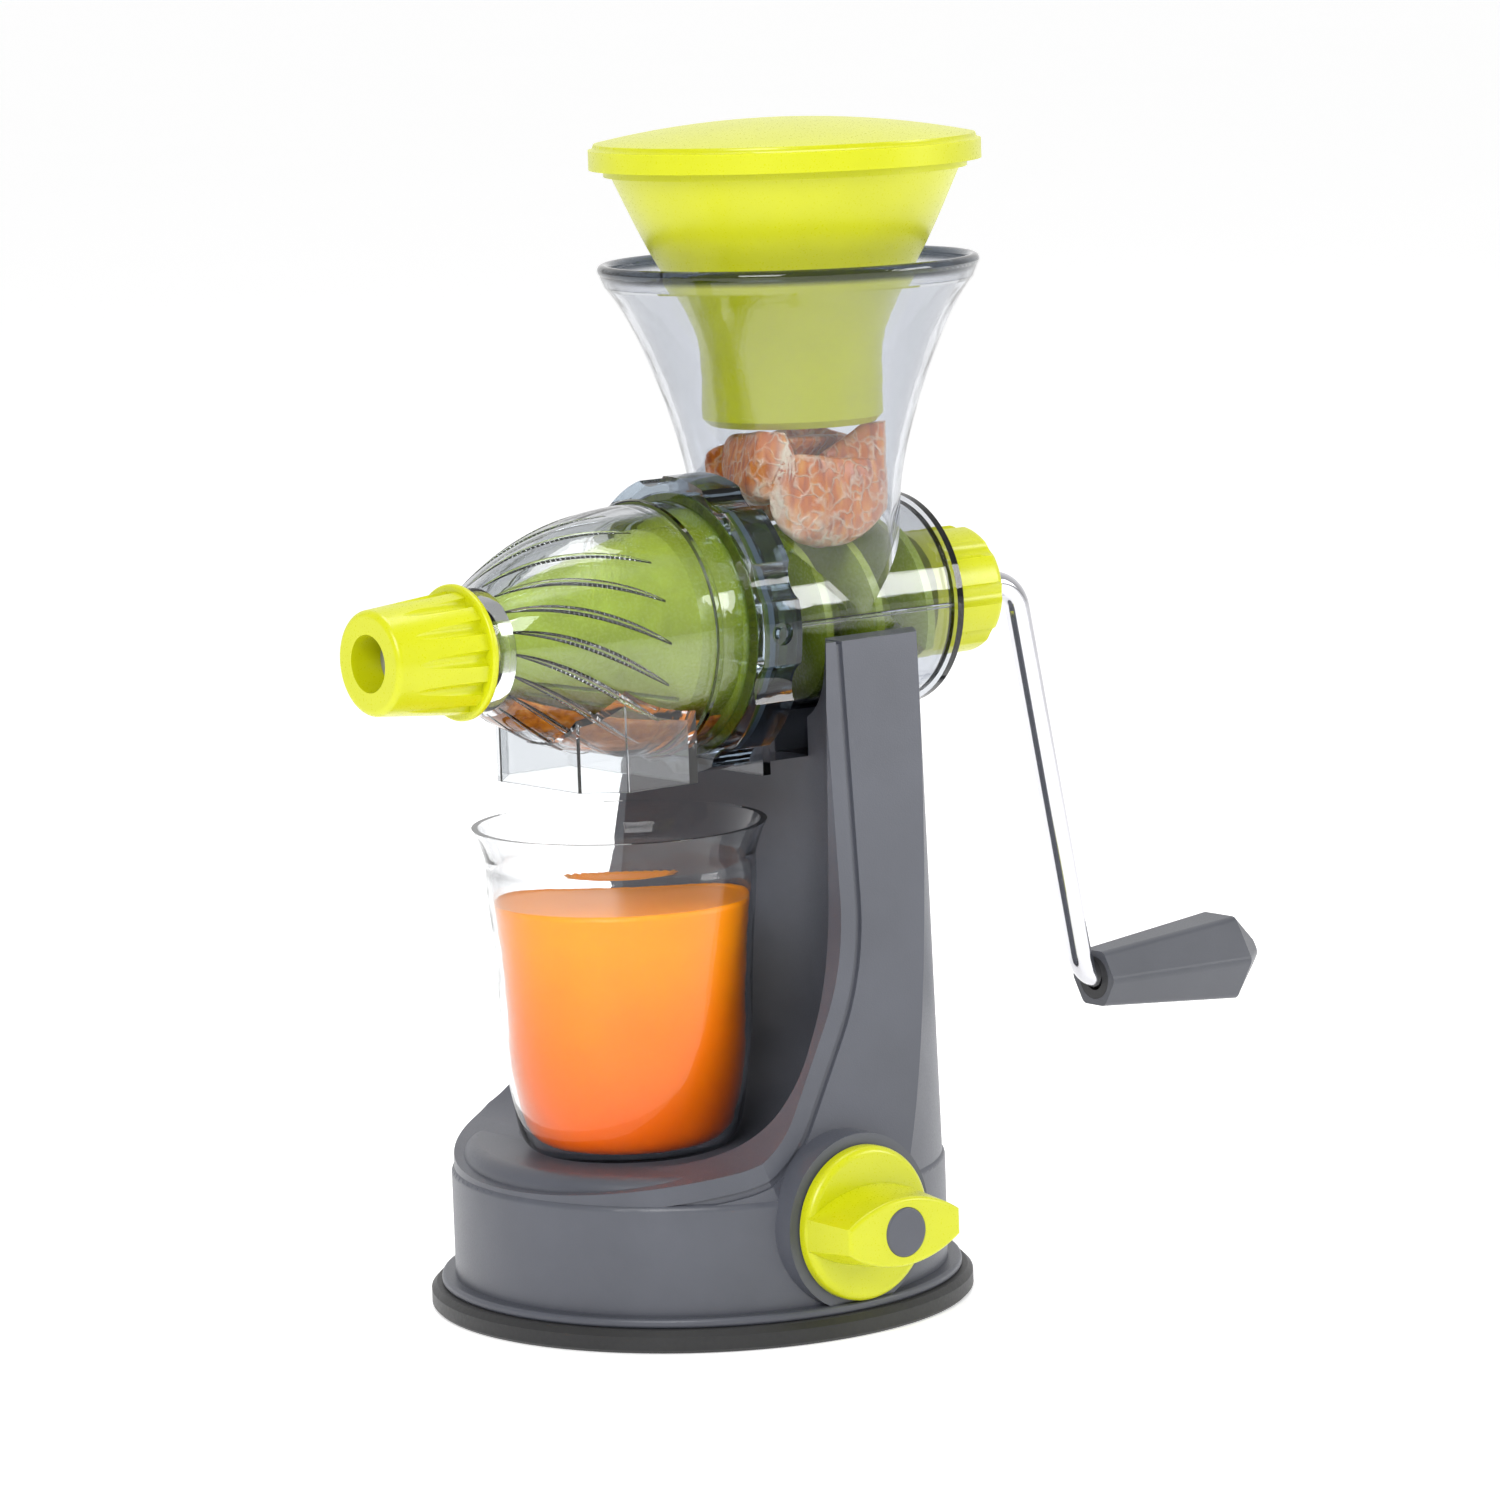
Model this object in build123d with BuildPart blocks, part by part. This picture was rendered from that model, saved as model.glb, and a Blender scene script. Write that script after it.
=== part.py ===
from build123d import *

import os
from math import cos, radians, sin, sqrt

# Hand-cranked screw juicer on a vacuum-lock base.
# Millimetres, +Z up. The origin is the centre of the pad's underside. The barrel lies
# along X, with the outlet nozzle at -X and the crank at +X. The knob faces -Y.

# ---------------------------------------------------------------- clearances
run_gap = 0.08  # radial, turning shaft in its bore
seat_gap = 0.05  # radial, piece pushed into its seat on the same body
free_gap = 0.5  # bodies that pass each other
face_gap = 0.3  # flat faces that turn against each other
pin_gap = 0.15  # radial, screw shank in its hole

# ---------------------------------------------------------------- stand
wall = 3.0
pad_r = 75.0
pad_rim_h = 6.0
pad_rim_w = 8.0
pad_web_h = 3.0
pad_collar_r = 54.0  # ring that stands up under the base plate
pad_collar_w = 4.5
drum_r = 68.2
drum_z = 38.7
flange_w = 3.8
flange_h = 2.6
deck_r = 65.0
deck_z = 45.0
deck_edge_r = 4.5

col_foot_r = drum_r - 0.7
col_top_r = 64.7
col_foot_w = 62.6  # half-widths of the flared sides
col_top_w = 40.0
col_front_x = 17.5  # front edge at the top
col_front_lean = 0.079  # front edge, mm of X for each mm of height
shin_z = 80.0  # height of the sloping front at x = 0
shin_slope = 1.52
knee_r = 70.0
toe_x = -40.0  # the toe passes through the deck here
toe_slope = 0.2
toe_r = 30.0
groove_in = 5.0  # groove behind the front edge
groove_w = 2.0
groove_depth = 0.8
bay_r = 58.0  # hollow that the cup stands in
bay_floor_r = 30.0

boss_r = 24.0
boss_y = -70.0
knob_z = 30.0
post_r = 5.0
post_sunk = 0.8  # depth of a post into the drum's wall
post_count = 4

plate_z = 10.0
plate_h = 2.5
plate_screw_r = 1.5
plate_screw_head_r = 3.2
plate_screw_len = 14.0

# ---------------------------------------------------------------- vacuum lock
cam_shaft_r = 3.0
cam_lift = 2.5
cam_w = 10.0
bearing_y = 9.0
bearing_t = 4.0
bearing_r = 7.0
clip_t = 1.0
clip_r = 5.5
knob_r = 21.0
knob_disc_t = 4.0
knob_wing_out = 15.0
wing_half_l = 19.0
wing_half_h = 9.2
wing_end_h = 3.4
wing_draft = 6.0
knob_cap_r = 6.7
knob_cap_t = 2.3
knob_screw_head_r = 4.5
knob_screw_head_t = 1.8
knob_screw_r = 1.5
knob_screw_len = 12.0
knob_web = 4.0  # plastic between the screw head and the shaft's end
stud_foot_r = 16.0
stud_stem_r = 5.0
yoke_t = 8.0
yoke_wall = 2.6
yoke_slack = 0.9  # height to spare in the yoke, for the cam's curved path

# ---------------------------------------------------------------- barrel and hopper
axis_z = 186.2
barrel_r = 28.5
barrel_wall = 2.8
barrel_x0 = 3.8
barrel_x1 = 76.6
rear_flange_r = 29.9
rear_flange_t = 2.2
hopper_x = 42.2
hopper_rim_r = 52.7
hopper_h = 97.2  # barrel axis to the rim
hopper_wall = 2.4
hopper_bead_r = 1.7
throat_r = 28.5
saddle_gap = 2.5
arm_drop = 4.2  # arm tops below the barrel axis
foot_x1 = 58.0
foot_half_w = 12.0
foot_drop = 39.2
apron_t = 2.6
apron_half_w = 21.0
apron_drop = 41.2
ear_ring_r = 32.6
ear_r = 36.0
ear_x0 = 4.8
ear_x1 = 7.6
ear_span = 60.0
ear_count = 3

# ---------------------------------------------------------------- cone and outlet
cone_wall = 2.5
cone_r = 34.2
cone_bend_x = -14.0
cone_mid_x = -46.0
cone_mid_r = 28.4
cone_end_x = -73.0
cone_end_r = 13.8
cone_inner_end_x = -66.0
cone_inner_end_r = 14.8
bead_x = -12.6
bead_r = 1.2
neck_r = 12.4
neck_bore_r = 10.2
neck_x = -92.0
collar_x0 = -2.5
collar_x1 = 10.4
collar_r = 40.8
collar_lobes = 9
lobe_cut_r = 8.0
lobe_depth = 2.6
dimple_r = 3.2
dimple_depth = 1.2
dimple_angle = 180.0  # about the barrel, from +Y towards +Z
lug_t = 2.4
lug_span = 52.0
spout_drop = 39.2
spout_front_x = -50.0
spout_cheek_x = -40.3
spout_rear_x = -17.0
spout_front_w = 18.3
spout_half_w = 28.0
spout_wall = 2.0
spout_top = 8.2  # top of the spout's walls below the axis
juice_slot_l = 20.0
juice_slot_w = 14.0
strainer_wall = 1.6
strainer_tip_x = -69.0
strainer_tip_r = 12.0
strainer_seat_l = 4.0
strainer_flange_t = 1.6
strainer_slots = 7
strainer_slot_span = 100.0  # of the lower side
strainer_slot_w = 1.5
seal_w = 4.5
nozzle_x0 = -103.7
nozzle_x1 = -74.0
nozzle_tip_r = 14.1
nozzle_root_r = 16.6
nozzle_hole_r = 7.8
nozzle_flange_r = 18.4
nozzle_flange_t = 2.0
nozzle_floor_x = -94.2
nozzle_flutes = 12
nozzle_flute_r = 2.2
nozzle_seal_t = 1.9

# ---------------------------------------------------------------- crank
flight_gap = 0.6
flight_pitch = 18.0
flight_t = 2.6
flight_inner_r = 7.0
flight_facets = 18
core_r = 8.6
auger_tip_x = -72.0
tail_r = 7.0
tail_x1 = 87.0
shaft_seal_t = 2.0
shaft_seal_r = 12.5
washer_t = 1.0
washer_r = 13.0
hub_r = 17.9
hub_x1 = 102.5
hub_flutes = 8
hub_flute_r = 3.6
hub_flute_depth = 2.0
rod_r = 3.6
rod_x0 = 62.0
rod_knee_x = 119.9
rod_foot_x = 142.8
rod_bend_r = 9.5
crank_drop = 118.2
rod_x1 = 188.0
grip_x0 = 146.5
grip_x1 = 196.0
grip_x2 = 207.0
grip_small = 8.0  # half-height across the flats
grip_large = 12.2
grip_end = 4.0
grip_edge_r = 2.4
grip_mouth_r = 6.3
grip_mouth_l = 7.0
grip_bush_l = 3.0
rod_ring_t = 1.6
rod_ring_r = 5.5

# ---------------------------------------------------------------- pusher and cup
pusher_wall = 2.2
pusher_low = 45.0  # pusher's bottom below the hopper's rim
pusher_disc_up = 26.0  # lid's underside above the hopper's rim
pusher_tip_r = 25.0
pusher_mouth_r = 48.0
pusher_flange_t = 2.0
pusher_lid_r = 54.0
pusher_lid_h = 7.0
pusher_dome = 5.6
pusher_lid_wall = 2.4
cup_x = -23.0
cup_h = 89.2
cup_wall = 1.7
cup_base_r = 26.0

# ---------------------------------------------------------------- worked out from the above
drum_in_r = drum_r - wall
post_ring_r = drum_in_r + post_sunk - post_r
col_foot_z = drum_z - wall
col_top_z = axis_z - arm_drop
pocket_z = axis_z - foot_drop
saddle_r = barrel_r + saddle_gap
barrel_in_r = barrel_r - barrel_wall
rear_wall_x = barrel_x1 - barrel_wall
apron_x0 = collar_x1 + free_gap
hopper_rim_z = axis_z + hopper_h
cam_r = cam_shaft_r + cam_lift + 0.1
plate_top_z = plate_z + plate_h
knob_y = boss_y - free_gap
knob_face_y = knob_y - knob_disc_t - knob_wing_out
cap_seat_y = knob_face_y + knob_cap_t
screw_seat_y = cap_seat_y + knob_screw_head_t
shaft_end_y = screw_seat_y + knob_web
shaft_rear_y = bearing_y + bearing_t + face_gap + 2 * clip_t
cone_in_r = cone_r - cone_wall
collar_bore_r = ear_r + free_gap
collar_floor_x = collar_x0 + cone_wall
strainer_r = barrel_in_r + strainer_wall
flight_r = barrel_in_r - flight_gap
shoulder_x = rear_wall_x - shaft_seal_t - face_gap
hub_x0 = barrel_x1 + face_gap + washer_t
pin_z = axis_z - crank_drop
lid_z = hopper_rim_z + pusher_disc_up
pusher_z = hopper_rim_z - pusher_low

barrel_axis = Axis((0, 0, axis_z), (1, 0, 0))
hopper_axis = Axis((hopper_x, 0, 0), (0, 0, 1))
cup_axis = Axis((cup_x, 0, 0), (0, 0, 1))


def col_half_w(z):
    """Half-width of the column's flared sides at height z."""
    share = (z - deck_z) / (col_top_z - deck_z)
    return col_foot_w + (col_top_w - col_foot_w) * share


def across(x):
    """Plane square to the barrel axis, centred on it."""
    return Plane((x, 0, axis_z), x_dir=(0, 1, 0), z_dir=(1, 0, 0))


def along_knob(y):
    """Plane square to the knob's axis, centred on it, facing out of the drum."""
    return Plane((0, y, knob_z), x_dir=(1, 0, 0), z_dir=(0, -1, 0))


# ================================================================ stand
def column_blank(skin):
    """Round back and flared sides of the column, drawn in by skin."""
    top = col_top_z - skin
    with BuildPart() as blank:
        with BuildSketch(Plane.XY.offset(col_foot_z)):
            Circle(col_foot_r - skin)
        with BuildSketch(Plane.XY.offset(top)):
            Circle(col_top_r - skin)
        loft()
        with BuildSketch(Plane.YZ):
            low = col_half_w(col_foot_z) - skin
            high = col_half_w(top) - skin
            Polygon((-low, col_foot_z), (low, col_foot_z), (high, top), (-high, top), align=None)
        extrude(amount=2 * drum_r, both=True, mode=Mode.INTERSECT)
    return blank.part


def shifted(point, slope, inset):
    """Height at x = 0 of the line through a point, moved down into the column by inset."""
    return point[1] - slope * point[0] - inset * sqrt(1 + slope**2)


def front_profile(inset):
    """Region in front of the column, seen from the side, moved into it by inset."""
    front_slope = 1 / col_front_lean
    lines = [
        (front_slope, shifted((col_front_x, col_top_z), front_slope, inset)),
        (shin_slope, shifted((0, shin_z), shin_slope, inset)),
        (toe_slope, shifted((toe_x, deck_z), toe_slope, inset)),
    ]
    corners = []
    for (steep, high), (flat, low) in zip(lines, lines[1:]):
        x = (low - high) / (steep - flat)
        corners.append((x, high + steep * x))
    top = col_top_z + 30
    far = -2 * pad_r
    with BuildSketch(Plane.XZ.offset(-2 * pad_r)) as region:
        with BuildLine():
            Polyline(
                (far, lines[2][1] + toe_slope * far),
                corners[1],
                corners[0],
                ((top - lines[0][1]) / front_slope, top),
                (far, top),
                close=True,
            )
        make_face()
        knee = region.vertices().sort_by_distance(corners[0])[0]
        fillet(knee, knee_r + inset)
        toe = region.vertices().sort_by_distance(corners[1])[0]
        fillet(toe, toe_r + inset)
    return region.sketch


def column(skin):
    """The whole column, drawn in by skin on every face."""
    with BuildPart() as solid:
        add(column_blank(skin))
        extrude(front_profile(skin), amount=4 * pad_r, dir=(0, -1, 0), mode=Mode.SUBTRACT)
        # bay for the cup: upright wall with a bowl-shaped bottom
        floor = deck_z - skin
        bowl = bay_r - bay_floor_r
        with BuildSketch(Plane.XZ):
            with BuildLine():
                start = Line((cup_x, floor), (cup_x + bay_floor_r, floor))
                bend = RadiusArc(start @ 1, (cup_x + bay_r + skin, floor + bowl + skin), -bowl - skin)
                Polyline(bend @ 1, (cup_x + bay_r + skin, col_top_z + 30), (cup_x, col_top_z + 30))
                Line((cup_x, col_top_z + 30), (cup_x, floor))
            make_face()
        revolve(axis=cup_axis, mode=Mode.SUBTRACT)
        # saddle and pocket that the barrel and its foot drop into
        with BuildSketch(across(-pad_r)):
            Circle(saddle_r + skin)
        extrude(amount=3 * pad_r, mode=Mode.SUBTRACT)
        pocket = foot_half_w + free_gap + skin
        with BuildSketch(Plane.XY.offset(pocket_z - skin)):
            with Locations((foot_x1 + free_gap + skin, 0)):
                Rectangle(2 * pad_r, 2 * pocket, align=(Align.MAX, Align.CENTER))
        extrude(amount=foot_drop, mode=Mode.SUBTRACT)
    return solid.part


with BuildPart() as groove_tool:
    extrude(front_profile(groove_in + groove_w), amount=4 * pad_r, dir=(0, -1, 0))
    extrude(front_profile(groove_in), amount=4 * pad_r, dir=(0, -1, 0), mode=Mode.SUBTRACT)
    add(column_blank(groove_depth), mode=Mode.SUBTRACT)

with BuildPart() as outer_column:
    add(column(0))
    add(groove_tool.part, mode=Mode.SUBTRACT)

with BuildPart() as drum_core:
    with BuildSketch(Plane.XY.offset(pad_rim_h)):
        Circle(drum_in_r)
    extrude(amount=drum_z - wall - pad_rim_h)
    with BuildSketch(Plane.XY.offset(drum_z - wall)):
        Circle(deck_r - wall)
    extrude(amount=deck_z - drum_z)
    add(column(wall))

with BuildPart() as stand_body:
    with BuildSketch(Plane.XY.offset(pad_rim_h)):
        Circle(drum_r)
    extrude(amount=drum_z - pad_rim_h)
    fillet(stand_body.edges().filter_by(GeomType.CIRCLE).sort_by(Axis.Z)[-1], 2)
    with BuildSketch(Plane.XY.offset(pad_rim_h)):
        Circle(drum_r + flange_w)
    extrude(amount=flange_h)
    fillet(stand_body.edges().filter_by(GeomType.CIRCLE).group_by(SortBy.RADIUS)[-1], 1)
    with BuildSketch(Plane.XY.offset(drum_z - wall)):
        Circle(deck_r)
    extrude(amount=deck_z - drum_z + wall)
    fillet(stand_body.edges().filter_by(GeomType.CIRCLE).sort_by(Axis.Z)[-1], deck_edge_r)
    add(outer_column.part)
    # knob boss
    with BuildSketch(along_knob(boss_y + 18)):
        Circle(boss_r)
    extrude(amount=18)
    add(drum_core.part, mode=Mode.SUBTRACT)
    # front bearing sleeve and screw posts, inside the drum
    with BuildSketch(along_knob(boss_y + 18)):
        Circle(bearing_r)
    extrude(amount=18 - wall)
    with BuildSketch(Plane.XY.offset(plate_top_z)):
        with PolarLocations(post_ring_r, post_count, start_angle=45):
            Circle(post_r)
    extrude(amount=drum_z - wall - plate_top_z)
    with BuildSketch(along_knob(boss_y + 20)):
        Circle(cam_shaft_r + run_gap)
    extrude(amount=30, mode=Mode.SUBTRACT)
    with BuildSketch(Plane.XY.offset(plate_top_z)):
        with PolarLocations(post_ring_r, post_count, start_angle=45):
            Circle(plate_screw_r + pin_gap)
    extrude(amount=plate_screw_len, mode=Mode.SUBTRACT)

with BuildPart() as base_plate:
    with BuildSketch(Plane.XY.offset(plate_z)):
        Circle(drum_in_r - seat_gap)
        Circle(stud_stem_r + run_gap, mode=Mode.SUBTRACT)
        with PolarLocations(post_ring_r, post_count, start_angle=45):
            Circle(plate_screw_r + pin_gap, mode=Mode.SUBTRACT)
    extrude(amount=plate_h)
    # rear bearing for the cam shaft
    with BuildSketch(along_knob(bearing_y + bearing_t)):
        Circle(bearing_r)
        with Locations((0, (plate_top_z - knob_z) / 2)):
            Rectangle(2 * bearing_r, knob_z - plate_top_z)
        Circle(cam_shaft_r + run_gap, mode=Mode.SUBTRACT)
    extrude(amount=bearing_t)

with BuildPart() as plate_screws:
    with BuildSketch(Plane.XY.offset(plate_z)):
        with PolarLocations(post_ring_r, post_count, start_angle=45):
            Circle(plate_screw_head_r)
    extrude(amount=-1.8)
    with BuildSketch(Plane.XY.offset(plate_z)):
        with PolarLocations(post_ring_r, post_count, start_angle=45):
            Circle(plate_screw_r)
    extrude(amount=plate_screw_len)

with BuildPart() as suction_pad:
    with BuildSketch(Plane.XZ):
        inner = pad_r - pad_rim_w
        ring = pad_collar_r
        Polygon(
            (0, 0),
            (pad_r - 0.8, 0),
            (pad_r, 0.8),
            (pad_r, pad_rim_h - 1.5),
            (pad_r - 1.5, pad_rim_h),
            (inner, pad_rim_h),
            (inner, pad_web_h),
            (ring, pad_web_h),
            (ring, plate_z),
            (ring - pad_collar_w, plate_z),
            (ring - pad_collar_w, pad_web_h),
            (0, pad_web_h),
            align=None,
        )
    revolve(axis=Axis.Z)

# ================================================================ vacuum lock
with BuildPart() as cam_shaft:
    with BuildSketch(along_knob(shaft_rear_y)):
        Circle(cam_shaft_r)
    extrude(amount=shaft_rear_y - shaft_end_y)
    with BuildSketch(along_knob(cam_w / 2)):
        with Locations((cam_lift, 0)):
            Circle(cam_r)
    extrude(amount=cam_w)
    with BuildSketch(along_knob(shaft_end_y)):
        Circle(knob_screw_r + pin_gap)
    extrude(amount=-knob_screw_len, mode=Mode.SUBTRACT)

with BuildPart() as shaft_clip:
    with BuildSketch(along_knob(bearing_y + bearing_t + face_gap + clip_t)):
        Circle(clip_r)
        Circle(cam_shaft_r + seat_gap, mode=Mode.SUBTRACT)
    extrude(amount=clip_t)

with BuildPart() as knob:
    with BuildSketch(along_knob(knob_y)):
        Circle(knob_r)
    extrude(amount=knob_disc_t)
    fillet(knob.edges().filter_by(GeomType.CIRCLE).sort_by(Axis.Y)[0], 2.2)
    # wing: two bowed sides between flat ends
    with BuildSketch(along_knob(knob_face_y)):
        with BuildLine():
            top = ThreePointArc((-wing_half_l, wing_end_h), (0, wing_half_h), (wing_half_l, wing_end_h))
            mirror(top, about=Plane.XZ)
            Line((-wing_half_l, wing_end_h), (-wing_half_l, -wing_end_h))
            Line((wing_half_l, wing_end_h), (wing_half_l, -wing_end_h))
        make_face()
    extrude(amount=-knob_wing_out - 1, taper=-wing_draft)
    rim = knob.faces().sort_by(Axis.Y)[0].outer_wire().edges()
    fillet(rim, 1.2)
    with BuildSketch(along_knob(knob_face_y)):
        Circle(knob_cap_r + seat_gap)
    extrude(amount=-knob_cap_t, mode=Mode.SUBTRACT)
    with BuildSketch(along_knob(cap_seat_y)):
        Circle(knob_screw_head_r + pin_gap)
    extrude(amount=-knob_screw_head_t, mode=Mode.SUBTRACT)
    with BuildSketch(along_knob(screw_seat_y)):
        Circle(knob_screw_r + pin_gap)
    extrude(amount=-knob_web, mode=Mode.SUBTRACT)
    with BuildSketch(along_knob(shaft_end_y)):
        Circle(cam_shaft_r + seat_gap)
    extrude(amount=-(knob_y - shaft_end_y), mode=Mode.SUBTRACT)

with BuildPart() as knob_cap:
    with BuildSketch(along_knob(cap_seat_y)):
        Circle(knob_cap_r)
    extrude(amount=knob_cap_t + 0.4)
    fillet(knob_cap.edges().sort_by(Axis.Y)[0], 0.6)

with BuildPart() as knob_screw:
    with BuildSketch(along_knob(screw_seat_y)):
        Circle(knob_screw_head_r)
    extrude(amount=knob_screw_head_t)
    with BuildSketch(along_knob(screw_seat_y)):
        Circle(knob_screw_r)
    extrude(amount=-knob_screw_len)

with BuildPart() as pull_stud:
    window_h = cam_r + yoke_slack
    window_w = cam_r + cam_lift + free_gap
    with BuildSketch(Plane.XY.offset(pad_web_h)):
        Circle(stud_foot_r)
    extrude(amount=plate_z - cam_lift - pad_web_h - 1.5)
    with BuildSketch(Plane.XY.offset(pad_web_h)):
        Circle(stud_stem_r)
    extrude(amount=knob_z - window_h - 1 - pad_web_h)
    with BuildSketch(along_knob(yoke_t / 2)):
        Rectangle(2 * (window_w + yoke_wall), 2 * (window_h + yoke_wall))
        Rectangle(2 * window_w, 2 * window_h, mode=Mode.SUBTRACT)
    extrude(amount=yoke_t)

# ================================================================ barrel and hopper
throat_z = axis_z + 22
flare = [(0, 0), (2.5, 21), (11.5, 49), (22.4, 69)]  # radius and height above the throat


def hopper_region(inset, low, high):
    """Half-section of the hopper, drawn in by inset, from low up to high."""
    points = [(hopper_x + throat_r - inset + r, throat_z + z) for r, z in flare]
    with BuildSketch(Plane.XZ) as region:
        with BuildLine():
            Polyline((hopper_x, low), (points[0][0], low), points[0])
            Spline(*points, tangents=((0, 1), (1, 1.25)))
            Polyline(points[-1], (hopper_x + hopper_rim_r - inset, high), (hopper_x, high), (hopper_x, low))
        make_face()
    return region.sketch


with BuildPart() as barrel:
    with BuildSketch(across(barrel_x0)):
        Circle(barrel_r)
    extrude(amount=barrel_x1 - barrel_x0)
    with BuildSketch(across(barrel_x1 - rear_flange_t)):
        Circle(rear_flange_r)
    extrude(amount=rear_flange_t)
    add(hopper_region(0, axis_z, hopper_rim_z - hopper_bead_r))
    revolve(axis=hopper_axis)
    # ring and bayonet ears inside the collar
    with BuildSketch(across(barrel_x0)):
        Circle(ear_ring_r)
    extrude(amount=ear_x1 - barrel_x0)
    with BuildSketch(across(ear_x0)):
        with PolarLocations(0, ear_count, start_angle=-90 - ear_span / 2):
            with BuildLine():
                ear = CenterArc((0, 0), ear_r, 0, ear_span)
                Line((0, 0), ear @ 0)
                Line((0, 0), ear @ 1)
            make_face()
    extrude(amount=ear_x1 - ear_x0)
    # apron plate and the foot that keys into the column
    with BuildSketch(across(apron_x0)):
        with Locations((0, -apron_drop)):
            Rectangle(2 * apron_half_w, apron_drop - barrel_r / 2, align=(Align.CENTER, Align.MIN))
    extrude(amount=apron_t)
    with BuildSketch(across(apron_x0)):
        with Locations((0, -foot_drop)):
            Rectangle(2 * foot_half_w, foot_drop - barrel_r / 2, align=(Align.CENTER, Align.MIN))
    extrude(amount=foot_x1 - apron_x0)
    # inside of the barrel and the hopper
    with BuildSketch(across(barrel_x0)):
        Circle(barrel_in_r)
    extrude(amount=rear_wall_x - barrel_x0, mode=Mode.SUBTRACT)
    add(hopper_region(hopper_wall, axis_z, hopper_rim_z))
    revolve(axis=hopper_axis, mode=Mode.SUBTRACT)
    with BuildSketch(across(rear_wall_x)):
        Circle(tail_r + run_gap)
    extrude(amount=2 * barrel_wall, mode=Mode.SUBTRACT)
    # rolled rim
    with BuildSketch(Plane.XZ):
        with Locations((hopper_x + hopper_rim_r - hopper_bead_r, hopper_rim_z - hopper_bead_r)):
            Circle(hopper_bead_r)
    revolve(axis=hopper_axis)

with BuildPart() as shaft_seal:
    with BuildSketch(across(rear_wall_x - shaft_seal_t)):
        Circle(shaft_seal_r)
        Circle(tail_r + run_gap, mode=Mode.SUBTRACT)
    extrude(amount=shaft_seal_t)

# ================================================================ cone and outlet
def spout_plan(inset):
    """Six-sided plan of the spout at its lower edge, drawn in by inset."""
    side = spout_half_w - inset
    front = spout_front_w - inset / 2
    with BuildSketch(Plane.XY.offset(axis_z - spout_drop)) as plan:
        Polygon(
            (spout_rear_x - inset, -side),
            (spout_rear_x - inset, side),
            (spout_cheek_x + inset / 2, side),
            (spout_front_x + inset, front),
            (spout_front_x + inset, -front),
            (spout_cheek_x + inset / 2, -side),
            align=None,
        )
    return plan.sketch


def cone_outline(end_x, end_r, inset):
    """Bowed outline of the cone, from its small end to the straight part."""
    return Spline(
        (end_x, axis_z + end_r),
        (cone_mid_x, axis_z + cone_mid_r - inset),
        (cone_bend_x, axis_z + cone_r - inset),
        tangents=((1, 0.75), (1, 0)),
    )


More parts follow.
